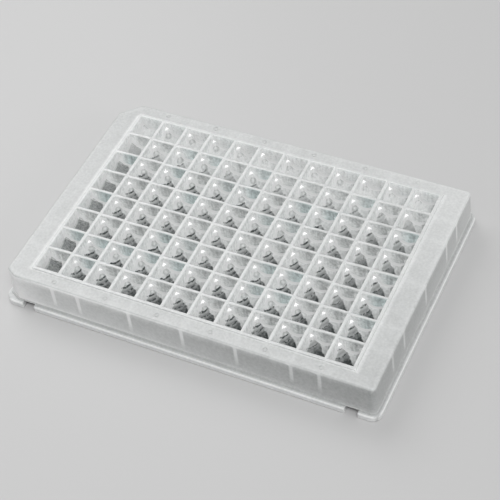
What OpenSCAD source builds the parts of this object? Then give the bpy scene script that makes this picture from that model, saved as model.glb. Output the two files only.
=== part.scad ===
// 96-well plate with square mouths and conical bottoms, moulded in one piece.
// Millimetres. The origin is on the floor under the middle of the plate:
// +X runs along the rows of twelve wells, +Y towards row A, +Z up.

/* [Footprint] */
// Length over the flange
plate_length = 127.76; // [127.26:0.25:128.26]
// Width over the flange
plate_width = 85.48; // [84.98:0.25:85.98]
// Height from the floor to the well rims
plate_height = 14.35; // [14:0.05:16]

/* [Flange] */
// Height of the flange round the foot
flange_height = 2.4; // [2:0.1:3]
// How far the flange stands out from the wall above it
flange_ledge = 1.45; // [1.2:0.05:1.7]
// Radius of the flange's four corners
flange_corner = 3.2; // [2:0.1:4.5]
// Bevel along the flange's upper edge
flange_bevel = 0.35; // [0.2:0.05:0.6]
// Height of the small step where the wall meets the flange
root_step = 0.4; // [0.2:0.05:0.8]

/* [Skirt] */
// Thickness of the outer wall
skirt_wall = 1.1; // [0.8:0.05:1.5]
// How far each wall leans in between the flange and the deck
skirt_draft = 0.3; // [0.1:0.05:0.5]
// Radius along the top edge of the skirt
edge_radius = 0.6; // [0.3:0.05:1]
// Both legs of the cut corner beside well A1
corner_cut_back = 6; // [3:0.5:7]
// Leg of the cut corner beside well H1, along the plate
corner_cut_front_x = 3.5; // [2:0.25:5]
// Leg of the cut corner beside well H1, across the plate
corner_cut_front_y = 2; // [1:0.25:4]
// Radius of the two uncut corners of the skirt
skirt_corner = 1.6; // [1:0.1:3]

/* [Deck] */
// Thickness of the deck round the wells
deck_thickness = 1.2; // [0.9:0.05:1.6]
// Depth of the deck below the well rims
deck_drop = 0.7; // [0.3:0.05:1.2]
// Diameter of the ejector marks on the front and back borders
mark_diameter = 1.6; // [1:0.1:2.2]
// Depth of the ejector marks
mark_depth = 0.15; // [0.1:0.05:0.3]
// Width of the ring that each ejector mark leaves
mark_ring = 0.3; // [0.2:0.05:0.4]

/* [Wells] */
// Number of rows
rows = 8; // [8]
// Number of columns
columns = 12; // [12]
// Distance between well centres
pitch = 9; // [9]
// Side of a well's square mouth
mouth = 7.95; // [7.6:0.05:8.2]
// Depth of the flat walls at their middle
flat_depth = 5.1; // [4.5:0.1:5.5]
// Angle between a well's axis and its conical bottom
cone_angle = 36.4; // [35:0.2:38]
// Radius of the small flat at the bottom of a well
tip_radius = 0.5; // [0.3:0.1:0.8]
// Thickness of the conical bottoms
cone_wall = 1; // [0.8:0.05:1.2]

/* [Gussets] */
// Thickness of the ribs between the skirt and the wells
gusset_wall = 0.9; // [0.7:0.1:1.2]
// Height of a rib's foot above the floor
gusset_foot = 3.2; // [3:0.1:5]
// Depth of a rib under the deck where it reaches the wells
gusset_root = 1.4; // [1.2:0.1:2.5]
// Radius of the fillets where a rib meets the deck
gusset_fillet = 1; // [0.5:0.1:1.2]

/* [Notches] */
// Distance from the middle of the plate to a notch
notch_start = 53; // [50:0.5:54]
// Width of a notch
notch_width = 4.2; // [3:0.1:5]
// Height of a notch
notch_height = 2.55; // [2.4:0.05:3.5]
// How far a notch cuts in from the flange's edge
notch_reach = 6; // [3:0.5:6]

/* [Hidden] */
eps = 0.01;
milky = [0.87, 0.89, 0.88];

deck_top = plate_height - deck_drop;
deck_under = deck_top - deck_thickness;
skirt_length = plate_length - 2 * flange_ledge;
skirt_width = plate_width - 2 * flange_ledge;
rim_wall = pitch - mouth;
block_length = columns * pitch + rim_wall;
block_width = rows * pitch + rim_wall;
cone_slope = tan(cone_angle);
apex = plate_height - flat_depth - mouth / 2 / cone_slope;
outer_apex = apex - cone_wall / sin(cone_angle);
outer_tip = tip_radius + cone_wall * tan(45 - cone_angle / 2);
void_reach = (pitch / 2 + rim_wall) * sqrt(2);
void_top = min(deck_under - eps, outer_apex + void_reach / cone_slope);
// Gussets stand on the lines between wells, counted in pitches from the middle.
long_side_gussets = [-5, -4, -2, 0, 2, 4, 5];
short_side_gussets = [-3, -2, 0, 2, 3];
mark_lines = [-5, -3, -1, 1, 3, 5];

// Points of a quarter circle, from the given angle on.
function quarter(centre, radius, from) =
    [for (a = [0:18:90]) centre + radius * [cos(from + a), sin(from + a)]];

// The skirt's outline, drawn in by the given distance on every side.
module skirt_outline(inset) {
    x = skirt_length / 2 - inset;
    y = skirt_width / 2 - inset;
    r = max(skirt_corner - inset, 0.3);
    polygon(concat(
        quarter([x - r, -y + r], r, -90),
        quarter([x - r, y - r], r, 0),
        [
            [-x + corner_cut_back, y], [-x, y - corner_cut_back],
            [-x, -y + corner_cut_front_y], [-x + corner_cut_front_x, -y]
        ]
    ));
}

// One thin slice of the skirt at a height, for the hull that joins the slices.
module skirt_slice(height, inset)
    translate([0, 0, height]) linear_extrude(eps) skirt_outline(inset);

// The solid inside the skirt's outer faces, leaning in and rounded along the top edge.
module skirt_body() {
    lean = skirt_draft + edge_radius;
    hull() {
        skirt_slice(0, 0);
        skirt_slice(flange_height, 0);
        for (a = [0:30:90])
            skirt_slice(deck_top - eps - edge_radius * (1 - sin(a)), lean - edge_radius * cos(a));
    }
}

// A straight run through the middle of the flange, bevelled along both upper edges.
module flange_run(length, half_width) {
    shoulder = flange_height - flange_bevel;
    rotate([90, 0, 90]) linear_extrude(length, center = true)
        polygon([
            [-half_width, 0], [half_width, 0], [half_width, shoulder],
            [half_width - flange_bevel, flange_height],
            [flange_bevel - half_width, flange_height], [-half_width, shoulder]
        ]);
}

// The flange as a solid rectangle with round corners; the hollow is cut out later.
module flange() {
    x = plate_length / 2;
    y = plate_width / 2;
    r = flange_corner;
    flange_run(2 * (x - r), y);
    rotate([0, 0, 90]) flange_run(2 * (y - r), x);
    for (sx = [-1, 1], sy = [-1, 1]) translate([sx * (x - r), sy * (y - r), 0]) {
        cylinder(r = r, h = flange_height - flange_bevel);
        translate([0, 0, flange_height - flange_bevel])
            cylinder(r1 = r, r2 = r - flange_bevel, h = flange_bevel, $fn = 48);
    }
}

// The small step that runs round the foot of the wall, on top of the flange.
module root_bead()
    linear_extrude(flange_height + root_step) skirt_outline(-root_step);

// Children at the centre of every well, which can read $column and $row.
module at_wells()
    for ($column = [0:columns - 1], $row = [0:rows - 1])
        translate([($column - (columns - 1) / 2) * pitch, ($row - (rows - 1) / 2) * pitch, 0])
            children();

// A solid cone standing on its point, cut off below at the given radius.
module cone(point, tip, top)
    translate([0, 0, point + tip / cone_slope])
        cylinder(r1 = tip, r2 = (top - point) * cone_slope, h = top - point - tip / cone_slope, $fn = 48);

// The hollow of one well: a cone inside a square, so that its flat walls end in curves.
module well_cavity()
    intersection() {
        translate([-mouth / 2, -mouth / 2, 0]) cube([mouth, mouth, plate_height + 1]);
        cone(apex, tip_radius, plate_height + 1);
    }

// The space under one well, outside its cone; four of them meet between four wells.
// On the edge of the block it reaches out past the wells' outer wall.
module under_well() {
    low = [
        -pitch / 2 - ($column == 0 ? rim_wall : 0),
        -pitch / 2 - ($row == 0 ? rim_wall : 0)
    ];
    high = [
        pitch / 2 + ($column == columns - 1 ? rim_wall : 0),
        pitch / 2 + ($row == rows - 1 ? rim_wall : 0)
    ];
    difference() {
        translate([low.x, low.y, -1]) cube([high.x - low.x, high.y - low.y, void_top + 1]);
        cone(outer_apex, outer_tip, void_top + 2);
    }
}

// The space under the deck, between the skirt and the block of wells.
module border_hollow()
    difference() {
        translate([0, 0, -1]) linear_extrude(deck_under + 1)
            skirt_outline(skirt_wall + skirt_draft);
        translate([-block_length / 2, -block_width / 2, -2])
            cube([block_length, block_width, plate_height]);
    }

// A rib that runs out under the deck, from the skirt at x = 0 to the wells at x = reach.
module gusset(reach) {
    translate([0, gusset_wall / 2, 0]) rotate([90, 0, 0]) linear_extrude(gusset_wall)
        polygon([
            [0, gusset_foot], [0, deck_under + eps], [reach, deck_under + eps],
            [reach, deck_under - gusset_root]
        ]);
    translate([0, 0, deck_under - gusset_fillet]) rotate([90, 0, 90]) linear_extrude(reach)
        fillet_pair();
}

// The section of the two fillets where a rib meets the deck, standing on y = 0.
module fillet_pair() {
    half = gusset_wall / 2 + gusset_fillet;
    difference() {
        translate([-half, 0]) square([2 * half, gusset_fillet + eps]);
        for (side = [-1, 1]) translate([side * half, 0]) circle(gusset_fillet, $fn = 32);
    }
}

// All the ribs.
module gussets() {
    overlap = 0.2;
    inner_x = skirt_length / 2 - skirt_wall - skirt_draft + overlap;
    inner_y = skirt_width / 2 - skirt_wall - skirt_draft + overlap;
    for (k = long_side_gussets, side = [-1, 1])
        translate([k * pitch, side * inner_y, 0]) rotate([0, 0, -side * 90])
            gusset(inner_y - block_width / 2 + overlap);
    for (k = short_side_gussets, side = [0, 1])
        rotate([0, 0, side * 180]) translate([inner_x, k * pitch, 0]) rotate([0, 0, 180])
            gusset(inner_x - block_length / 2 + overlap);
}

// Ring-shaped ejector marks in the front and back borders of the deck.
module ejector_marks() {
    line_y = (block_width + skirt_width) / 4;
    for (k = mark_lines, side = [-1, 1])
        translate([k * pitch, side * line_y, deck_top - mark_depth]) difference() {
            cylinder(d = mark_diameter, h = 1);
            translate([0, 0, -1]) cylinder(d = mark_diameter - 2 * mark_ring, h = 3);
        }
}

// Notches through the flange near the ends of both long sides.
module notches()
    for (sx = [-1, 1], sy = [-1, 1])
        translate([sx * (notch_start + notch_width / 2), sy * plate_width / 2, 0])
            cube([notch_width, 2 * notch_reach, 2 * notch_height], center = true);

// The whole plate, one moulding.
module plate()
    color(milky) union() {
        difference() {
            union() {
                skirt_body();
                flange();
                root_bead();
                translate([-block_length / 2, -block_width / 2, flange_height])
                    cube([block_length, block_width, plate_height - flange_height]);
            }
            border_hollow();
            at_wells() under_well();
            at_wells() well_cavity();
            ejector_marks();
            notches();
        }
        gussets();
    }

plate();
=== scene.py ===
"""Builds the dressed well plate: one milky moulding, standing on a plain pale floor."""

import logging
import math
from dataclasses import dataclass, field
from enum import Enum, IntEnum
from typing import NamedTuple

import bmesh
import bpy
from mathutils import Matrix, Vector
from mathutils.bvhtree import BVHTree


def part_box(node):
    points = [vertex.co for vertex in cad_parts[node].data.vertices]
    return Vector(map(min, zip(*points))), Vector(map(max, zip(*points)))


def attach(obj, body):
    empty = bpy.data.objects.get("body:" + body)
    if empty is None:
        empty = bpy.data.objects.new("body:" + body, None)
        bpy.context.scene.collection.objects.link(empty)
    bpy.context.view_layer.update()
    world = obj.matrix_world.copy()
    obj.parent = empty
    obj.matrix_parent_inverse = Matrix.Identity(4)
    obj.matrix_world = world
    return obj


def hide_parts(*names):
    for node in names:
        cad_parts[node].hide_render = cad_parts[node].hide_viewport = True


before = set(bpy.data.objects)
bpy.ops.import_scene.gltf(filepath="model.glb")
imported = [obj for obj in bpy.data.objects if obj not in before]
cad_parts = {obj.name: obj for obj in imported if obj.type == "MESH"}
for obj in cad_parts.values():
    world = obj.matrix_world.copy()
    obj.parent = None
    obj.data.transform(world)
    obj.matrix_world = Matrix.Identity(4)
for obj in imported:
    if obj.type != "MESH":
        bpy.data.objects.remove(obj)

MM = 0.001
NODE = "plate"
BODY = "root"
log = logging.getLogger("well_plate")

# Shapes are made in millimetres. A ring is a height and the outline at that height.
Point = tuple[float, float, float]
Flat = tuple[float, float]
Outline = list[Flat]
Ring = tuple[float, Outline]
# A span is a low and a high end, a soft limit is a limit and the width of its soft edge, and a
# grain is a noise's scale per metre and the number of its finer layers.
Colour = tuple[float, float, float]
Span = tuple[float, float]
Soft = tuple[float, float]
Grain = tuple[float, float]


class Side(Enum):
    """The four sides of the plate, with the way each one faces."""

    FRONT = (0.0, -1.0)
    RIGHT = (1.0, 0.0)
    BACK = (0.0, 1.0)
    LEFT = (-1.0, 0.0)

    @property
    def is_long(self) -> bool:
        """Whether the side runs along the plate's length."""
        return self in (Side.FRONT, Side.BACK)


class Cut(Enum):
    """The ways in which two solids are combined."""

    ADD = "UNION"
    REMOVE = "DIFFERENCE"


@dataclass
class Solid:
    """A closed mesh under construction, in millimetres."""

    points: list[Point] = field(default_factory=list)
    faces: list[list[int]] = field(default_factory=list)

    def add_points(self, points: list[Point]) -> list[int]:
        """Adds points.

        Args:
            points: The places to add.

        Returns:
            The number of each point.
        """
        first = len(self.points)
        self.points.extend(points)
        return list(range(first, len(self.points)))

    def add_prism(self, low: list[Point], high: list[Point]) -> None:
        """Adds a closed prism between two polygons with the same number of corners.

        Args:
            low: One end, seen counter-clockwise from outside it.
            high: The other end, in the same order as the first.
        """
        a, b = self.add_points(low), self.add_points(high)
        count = len(a)
        self.faces.append(a)
        self.faces.append(b[::-1])
        for k in range(count):
            n = (k + 1) % count
            self.faces.append([a[n], a[k], b[k], b[n]])

    def build(self, name: str) -> bpy.types.Object:
        """Makes the Blender object.

        Args:
            name: The object's name.

        Returns:
            The object, in metres, with every face turned outwards.
        """
        mesh = bpy.data.meshes.new(name)
        mesh.from_pydata([[c * MM for c in p] for p in self.points], [], self.faces)
        work = bmesh.new()
        work.from_mesh(mesh)
        bmesh.ops.recalc_face_normals(work, faces=work.faces)
        work.to_mesh(mesh)
        work.free()
        made = bpy.data.objects.new(name, mesh)
        bpy.context.scene.collection.objects.link(made)
        return made


def combine(base: bpy.types.Object, tool: bpy.types.Object, cut: Cut) -> None:
    """Adds a solid to another or takes it away, and deletes the second one.

    Args:
        base: The object that is changed.
        tool: The object that is added or taken away.
        cut: What to do with it.
    """
    change = base.modifiers.new("combine", "BOOLEAN")
    change.operation = cut.value
    change.solver = "MANIFOLD"
    change.object = tool
    depsgraph = bpy.context.evaluated_depsgraph_get()
    result = bpy.data.meshes.new_from_object(base.evaluated_get(depsgraph))
    base.modifiers.clear()
    old = base.data
    base.data = result
    bpy.data.meshes.remove(old)
    bpy.data.objects.remove(tool)


class Step(IntEnum):
    """The steps of the surface from a rim down into a well."""

    RIM = 0
    ROUNDING = 1
    WALL = 2
    FOOT = 3
    BOTTOM = 4


class Line(NamedTuple):
    """One line of the wells' grid.

    Attributes:
        place: Its distance from the middle of the plate.
        offset: Its distance from the middle of its well.
        step: The step of the surface that it lies on.
        outer_drop: How far it lies below the rims on the block's outer edge. Below 0 anywhere else.
    """

    place: float
    offset: float
    step: Step
    outer_drop: float = -1.0


@dataclass
class WellBlock:
    """The twelve by eight wells: square mouths, flat walls and conical bottoms."""

    columns: int = 12
    rows: int = 8
    pitch: float = 9.0
    rim_height: float = 14.35
    mouth: float = 7.95
    flat_depth: float = 5.1
    half_angle: float = 36.4
    tip_round: float = 0.5
    tip_radius: float = 0.5
    cone_wall: float = 1.0
    rim_round: float = 0.2
    draft: float = 0.07
    ridge_lift: float = 0.24
    ridge_width: float = 0.15
    seat_top: float = 12.15
    seat_fall: Flat = (0.355, 0.587)
    seat_reach: float = 1.45
    inner_stations: tuple[float, ...] = (3.6, 3.3, 2.9, 2.3, 1.6, 0.8)
    under_stations: tuple[float, ...] = (3.75, 3.0, 2.25, 1.55, 1.0, 0.45)

    @property
    def rim_wall(self) -> float:
        """The thickness of the walls between the wells."""
        return self.pitch - self.mouth

    @property
    def rim_middle(self) -> Flat:
        """How far in and how far down the middle of a rim's rounding lies."""
        turn = math.pi / 4
        return self.rim_round * (1 - math.sin(turn)), self.rim_round * (1 - math.cos(turn))

    @property
    def slope(self) -> float:
        """How far the cone widens for each millimetre of height."""
        return math.tan(math.radians(self.half_angle))

    @property
    def apex(self) -> float:
        """The height of the point of the inner cone."""
        return self.rim_height - self.flat_depth - self.mouth / 2 / self.slope

    @property
    def outer_apex(self) -> float:
        """The height of the point of the outer cone."""
        return self.apex - self.cone_wall / math.sin(math.radians(self.half_angle))

    @property
    def outer_tip(self) -> float:
        """The radius of the flat end under a cone."""
        return self.tip_radius + self.cone_wall * math.tan(math.radians(45 - self.half_angle / 2))

    @property
    def seats_start(self) -> float:
        """Where the second column starts, along the plate: the first one has no seats."""
        return self.pitch * (1 - self.columns / 2)

    def half_size(self, side: Side) -> float:
        """The distance from the middle of the plate to the block's face on a side."""
        count = self.rows if side.is_long else self.columns
        return (count * self.pitch + self.rim_wall) / 2

    def cone_height(self, x: float, y: float) -> float:
        """The height of a well's conical bottom, with its point rounded off."""
        return self.apex + math.sqrt(x * x + y * y + self.tip_round**2) / self.slope

    def under_height(self, x: float, y: float) -> float:
        """The height of the outside of a cone."""
        return self.outer_apex + max(math.hypot(x, y), self.outer_tip) / self.slope

    def half_cell(self) -> list[tuple[float, Step]]:
        """The lines from the edge of a cell to its middle.

        Returns:
            The offset and the step of each line.
        """
        half = self.mouth / 2
        foot = half - self.draft
        lines = [
            (half + self.rim_round, Step.RIM),
            (half + self.rim_middle[0], Step.ROUNDING),
            (half, Step.WALL),
            (foot, Step.FOOT),
            (foot - self.ridge_width, Step.BOTTOM),
        ]
        return lines + [(offset, Step.BOTTOM) for offset in self.inner_stations]

    def lines(self, count: int, under: bool) -> list[Line]:
        """All the grid's lines along one axis.

        Args:
            count: How many cells there are along the axis.
            under: Whether the lines are those of the underside.

        Returns:
            The lines, from low to high.
        """
        reach = (self.pitch + self.rim_wall) / 2
        soft_in, soft_down = self.rim_middle
        edge = [(reach, self.rim_round), (reach - soft_in, soft_down), (reach - self.rim_round, 0.0)]
        half = self.half_cell()
        if under:
            edge = edge[:1]
            half = [(offset, Step.BOTTOM) for offset in self.under_stations]
        made: list[Line] = []
        for cell in range(count):
            centre = (cell - (count - 1) / 2) * self.pitch
            if cell == 0:
                made += [Line(centre - o, -o, Step.RIM, drop) for o, drop in edge]
            else:
                made.append(Line(centre - self.pitch / 2, -self.pitch / 2, Step.RIM))
            made += [Line(centre - o, -o, step) for o, step in half]
            if not under:
                made.append(Line(centre, 0.0, Step.BOTTOM))
            made += [Line(centre + o, o, step) for o, step in reversed(half)]
        return made + [Line(centre + o, o, Step.RIM, drop) for o, drop in reversed(edge)]

    def top_height(self, a: Line, b: Line) -> float:
        """The height of the upper surface where two lines cross.

        Args:
            a: The line across the plate, which has a place along it.
            b: The line along the plate, which has a place across it.

        Returns:
            The height above the floor.
        """
        if a.outer_drop >= 0 or b.outer_drop >= 0:
            return self.rim_height - max(a.outer_drop, b.outer_drop, 0.0)
        step = min(a.step, b.step)
        if step <= Step.WALL:
            return self.rim_height - (0.0, self.rim_middle[1], self.rim_round)[step]
        lift = self.ridge_lift * ((a.step == Step.FOOT) + (b.step == Step.FOOT))
        cone = self.cone_height(a.offset, b.offset) + lift
        from_x, from_y = self.mouth / 2 - abs(a.offset), self.mouth / 2 - abs(b.offset)
        if from_x + from_y > self.seat_reach or a.place < self.seats_start:
            return cone
        return max(cone, self.seat_top - self.seat_fall[0] * from_x - self.seat_fall[1] * from_y)

    def build(self) -> bpy.types.Object:
        """Makes the block of wells as one closed solid.

        Returns:
            The block.
        """
        solid = Solid()
        along, across = self.lines(self.columns, False), self.lines(self.rows, False)
        top = [solid.add_points([(a.place, b.place, self.top_height(a, b)) for b in across])
               for a in along]
        under_along, under_across = self.lines(self.columns, True), self.lines(self.rows, True)
        low = [
            solid.add_points([
                (a.place, b.place, self.under_height(a.offset, b.offset)) for b in under_across
            ])
            for a in under_along
        ]
        for grid in (top, low):
            for i in range(len(grid) - 1):
                for j in range(len(grid[0]) - 1):
                    solid.faces.append([grid[i][j], grid[i + 1][j], grid[i + 1][j + 1], grid[i][j + 1]])
        for end in (0, -1):
            self.close_edge(solid, [row[end] for row in top], [row[end] for row in low],
                            along, under_along)
        for end in (0, -1):
            self.close_edge(solid, top[end], low[end], across, under_across)
        return solid.build("well_block")

    @staticmethod
    def close_edge(
        solid: Solid, top: list[int], low: list[int], top_lines: list[Line], low_lines: list[Line]
    ) -> None:
        """Joins the upper and the lower surface along one edge of the block.

        Args:
            solid: The solid that gets the faces.
            top: The points along the upper edge.
            low: The points along the lower edge.
            top_lines: The lines that the upper points lie on.
            low_lines: The lines that the lower points lie on.
        """
        partner = [
            min(range(len(top_lines)), key=lambda k: abs(top_lines[k].place - line.place))
            for line in low_lines
        ]
        partner[0], partner[-1] = 0, len(top_lines) - 1
        for k in range(len(low) - 1):
            above = top[partner[k]:partner[k + 1] + 1]
            solid.faces.append([low[k + 1], low[k]] + above)


@dataclass
class Shell:
    """The deck round the wells, the skirt and the flange that the plate stands on."""

    block: WellBlock
    length: float
    width: float
    flange_height: float = 2.4
    flange_ledge: float = 1.45
    flange_corner: float = 3.2
    flange_bevel: float = 0.35
    bevel_turn: float = 0.3
    foot_round: float = 0.2
    flange_levels: tuple[float, ...] = (0.6, 1.3)
    root_step: float = 0.4
    step_soft: float = 0.1
    step_lean: float = 0.05
    step_round: float = 0.15
    skirt_wall: float = 1.1
    skirt_draft: float = 0.3
    skirt_corner: float = 1.6
    least_corner: float = 0.3
    skirt_levels: tuple[float, ...] = (4.2, 5.6, 7.0, 8.4, 9.6, 10.6, 11.4, 12.0, 12.5)
    edge_radius: float = 0.6
    edge_turns: tuple[float, ...] = (0, 22.5, 45, 67.5, 90)
    cut_back: float = 6.0
    cut_front: Flat = (3.5, 2.0)
    cut_soft: float = 0.5
    deck_thickness: float = 1.2
    deck_drop: float = 0.7
    deck_shares: tuple[float, ...] = (0.15, 0.35, 0.55, 0.75)
    join_round: float = 0.05
    inner_soft: float = 0.5
    inner_turn: float = 0.3
    inner_foot: float = 0.3
    corner_points: int = 7
    beside_ribs: tuple[float, ...] = (-3.0, -1.4, -0.8, -0.35, 0.35, 0.8, 1.4, 3.0)

    @property
    def deck_top(self) -> float:
        """The height of the deck's upper face."""
        return self.block.rim_height - self.deck_drop

    @property
    def deck_under(self) -> float:
        """The height of the deck's lower face."""
        return self.deck_top - self.deck_thickness

    @property
    def skirt_inset(self) -> float:
        """How far the skirt's inner face lies inside its outline."""
        return self.skirt_wall + self.skirt_draft

    def half_skirt(self, side: Side) -> float:
        """The distance from the middle of the plate to the skirt's foot on a side."""
        return (self.width if side.is_long else self.length) / 2 - self.flange_ledge

    def arc(self, centre: Flat, radius: float, start: float) -> Outline:
        """A quarter circle.

        Args:
            centre: Its middle.
            radius: Its radius.
            start: Where it starts, in degrees. It runs counter-clockwise from there.

        Returns:
            Its points.
        """
        last = self.corner_points - 1
        turns = [math.radians(start + 90 * k / last) for k in range(self.corner_points)]
        return [(centre[0] + radius * math.cos(a), centre[1] + radius * math.sin(a)) for a in turns]

    def clipped(self, corner: Flat, before: Flat, after: Flat) -> Outline:
        """A straight cut across a corner, with its two ends rounded a little.

        Args:
            corner: The corner as it would be without the cut.
            before: The step from the corner to the cut's first end.
            after: The step from the corner to its second end.

        Returns:
            As many points as a quarter circle has.
        """
        first = Vector((corner[0] + before[0], corner[1] + before[1]))
        second = Vector((corner[0] + after[0], corner[1] + after[1]))
        chord = (second - first).normalized()
        soft = min(self.cut_soft, (second - first).length / 4)
        bends = []
        for end, away, on in ((first, before, chord), (second, after, -chord)):
            out = Vector(away).normalized()
            middle = (end * 2 + (end + out * soft + end + on * soft)) / 4
            bends.append([end + out * soft, middle, end + on * soft])
        points = bends[0] + [(first + second) / 2] + bends[1][::-1]
        return [(p.x, p.y) for p in points]

    def stretch(self, side: Side, first: Flat, last: Flat) -> Outline:
        """The points between two corners of an outline, close together beside the ribs.

        Args:
            side: The side that they lie on.
            first: The last point of the corner before them.
            last: The first point of the corner after them.

        Returns:
            The points in order, the same number for every outline.
        """
        count = self.block.columns if side.is_long else self.block.rows
        axis = 0 if side.is_long else 1
        turn = 1 if last[axis] > first[axis] else -1
        ribs = range(1 - count // 2, count // 2)
        places = [rib * self.block.pitch + o for rib in ribs for o in self.beside_ribs]
        points = []
        for place in sorted(places, key=lambda p: p * turn):
            share = (place - first[axis]) / (last[axis] - first[axis])
            other = first[1 - axis] + (last[1 - axis] - first[1 - axis]) * share
            points.append((place, other) if side.is_long else (other, place))
        return points

    def outline(self, corners: list[Outline]) -> Outline:
        """Joins four corners with stretches of the same points for every outline.

        Args:
            corners: The front right, back right, back left and front left corner.

        Returns:
            The whole outline, counter-clockwise.
        """
        made: Outline = []
        sides = (Side.RIGHT, Side.BACK, Side.LEFT, Side.FRONT)
        for side, corner, following in zip(sides, corners, corners[1:] + corners[:1]):
            made += corner + self.stretch(side, corner[-1], following[0])
        return made

    def skirt_outline(self, inset: float) -> Outline:
        """The skirt's outline.

        Args:
            inset: How far it is drawn in.

        Returns:
            The outline, with round corners on the right and cut corners on the left.
        """
        x = self.half_skirt(Side.RIGHT) - inset
        y = self.half_skirt(Side.BACK) - inset
        r = max(self.skirt_corner - inset, self.least_corner)
        return self.outline([
            self.arc((x - r, -y + r), r, -90),
            self.arc((x - r, y - r), r, 0),
            self.clipped((-x, y), (self.cut_back, 0), (0, -self.cut_back)),
            self.clipped((-x, -y), (0, self.cut_front[1]), (self.cut_front[0], 0)),
        ])

    def round_outline(self, x: float, y: float, r: float) -> Outline:
        """A rectangle with round corners.

        Args:
            x: Half its length.
            y: Half its width.
            r: The radius of its corners.

        Returns:
            The outline.
        """
        return self.outline([
            self.arc((x - r, -y + r), r, -90),
            self.arc((x - r, y - r), r, 0),
            self.arc((-x + r, y - r), r, 90),
            self.arc((-x + r, -y + r), r, 180),
        ])

    def flange_outline(self, inset: float) -> Outline:
        """The flange's outline, drawn in by a distance."""
        half = (self.length / 2 - inset, self.width / 2 - inset)
        return self.round_outline(*half, self.flange_corner - inset)

    def flange_rings(self) -> list[Ring]:
        """The rings up the flange's edge and over its bevel.

        Returns:
            The height and the outline of each ring.
        """
        top, bevel = self.flange_height, self.flange_bevel
        turn = bevel * self.bevel_turn
        upright = (self.foot_round, *self.flange_levels, top - bevel)
        made = [(0.0, self.flange_outline(self.foot_round))]
        made += [(level, self.flange_outline(0.0)) for level in upright]
        return made + [(top - turn, self.flange_outline(turn)), (top, self.flange_outline(bevel))]

    def step_rings(self) -> list[Ring]:
        """The rings over the small step where the wall meets the flange.

        Returns:
            The height and the outline of each ring.
        """
        low, step, soft = self.flange_height, self.root_step, self.step_soft
        high = low + step
        return [
            (low, self.skirt_outline(-step - soft)),
            (low + soft, self.skirt_outline(-step)),
            (high - soft, self.skirt_outline(-step + self.step_lean)),
            (high, self.skirt_outline(-step + self.step_round)),
            (high, self.skirt_outline(-soft)),
            (high + self.step_round, self.skirt_outline(0.0)),
        ]

    def wall_rings(self) -> list[Ring]:
        """The rings up the leaning wall and round its top edge.

        Returns:
            The height and the outline of each ring.
        """
        r, foot, step = self.edge_radius, self.flange_height, self.root_step
        lean = self.skirt_draft / (self.deck_top - r - foot - step)
        made = [(level, self.skirt_outline(lean * (level - foot - step))) for level in self.skirt_levels]
        for turn in self.edge_turns:
            a = math.radians(turn)
            height = self.deck_top - r * (1 - math.sin(a))
            made.append((height, self.skirt_outline(self.skirt_draft + r * (1 - math.cos(a)))))
        return made

    def deck_rings(self, edge: Outline, join: Outline) -> list[Ring]:
        """The rings over the deck, from its edge to the wells.

        Args:
            edge: The deck's outer edge.
            join: The line where the deck meets the wells.

        Returns:
            The height and the outline of each ring.
        """
        made = []
        for share in self.deck_shares:
            between = [
                (a[0] + (b[0] - a[0]) * share, a[1] + (b[1] - a[1]) * share) for a, b in zip(edge, join)
            ]
            made.append((self.deck_top, between))
        return made + [(self.deck_top, join)]

    def inner_rings(self, join: Outline) -> list[Ring]:
        """The rings under the deck and down the skirt's inner face.

        Args:
            join: The line where the deck meets the wells.

        Returns:
            The height and the outline of each ring.
        """
        under, inner, soft = self.deck_under, self.skirt_inset, self.inner_soft
        turn = soft * self.inner_turn
        return [
            (under, join),
            (under, self.skirt_outline(inner + soft)),
            (under - turn, self.skirt_outline(inner + turn)),
            (under - soft, self.skirt_outline(inner)),
            (self.inner_foot, self.skirt_outline(inner)),
            (0.0, self.skirt_outline(inner - self.inner_foot)),
        ]

    def build(self) -> bpy.types.Object:
        """Makes the shell as one closed solid, stretched over rings round its cross-section.

        Returns:
            The shell.
        """
        block = self.block
        join = self.round_outline(
            block.columns * block.pitch / 2, block.rows * block.pitch / 2, self.join_round
        )
        outlines = self.flange_rings() + self.step_rings() + self.wall_rings()
        outlines += self.deck_rings(outlines[-1][1], join) + self.inner_rings(join)
        solid = Solid()
        rings = [solid.add_points([(x, y, z) for x, y in outline]) for z, outline in outlines]
        count = len(rings[0])
        for ring, following in zip(rings, rings[1:] + rings[:1]):
            for k in range(count):
                n = (k + 1) % count
                solid.faces.append([ring[k], ring[n], following[n], following[k]])
        return solid.build("shell")


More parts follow.
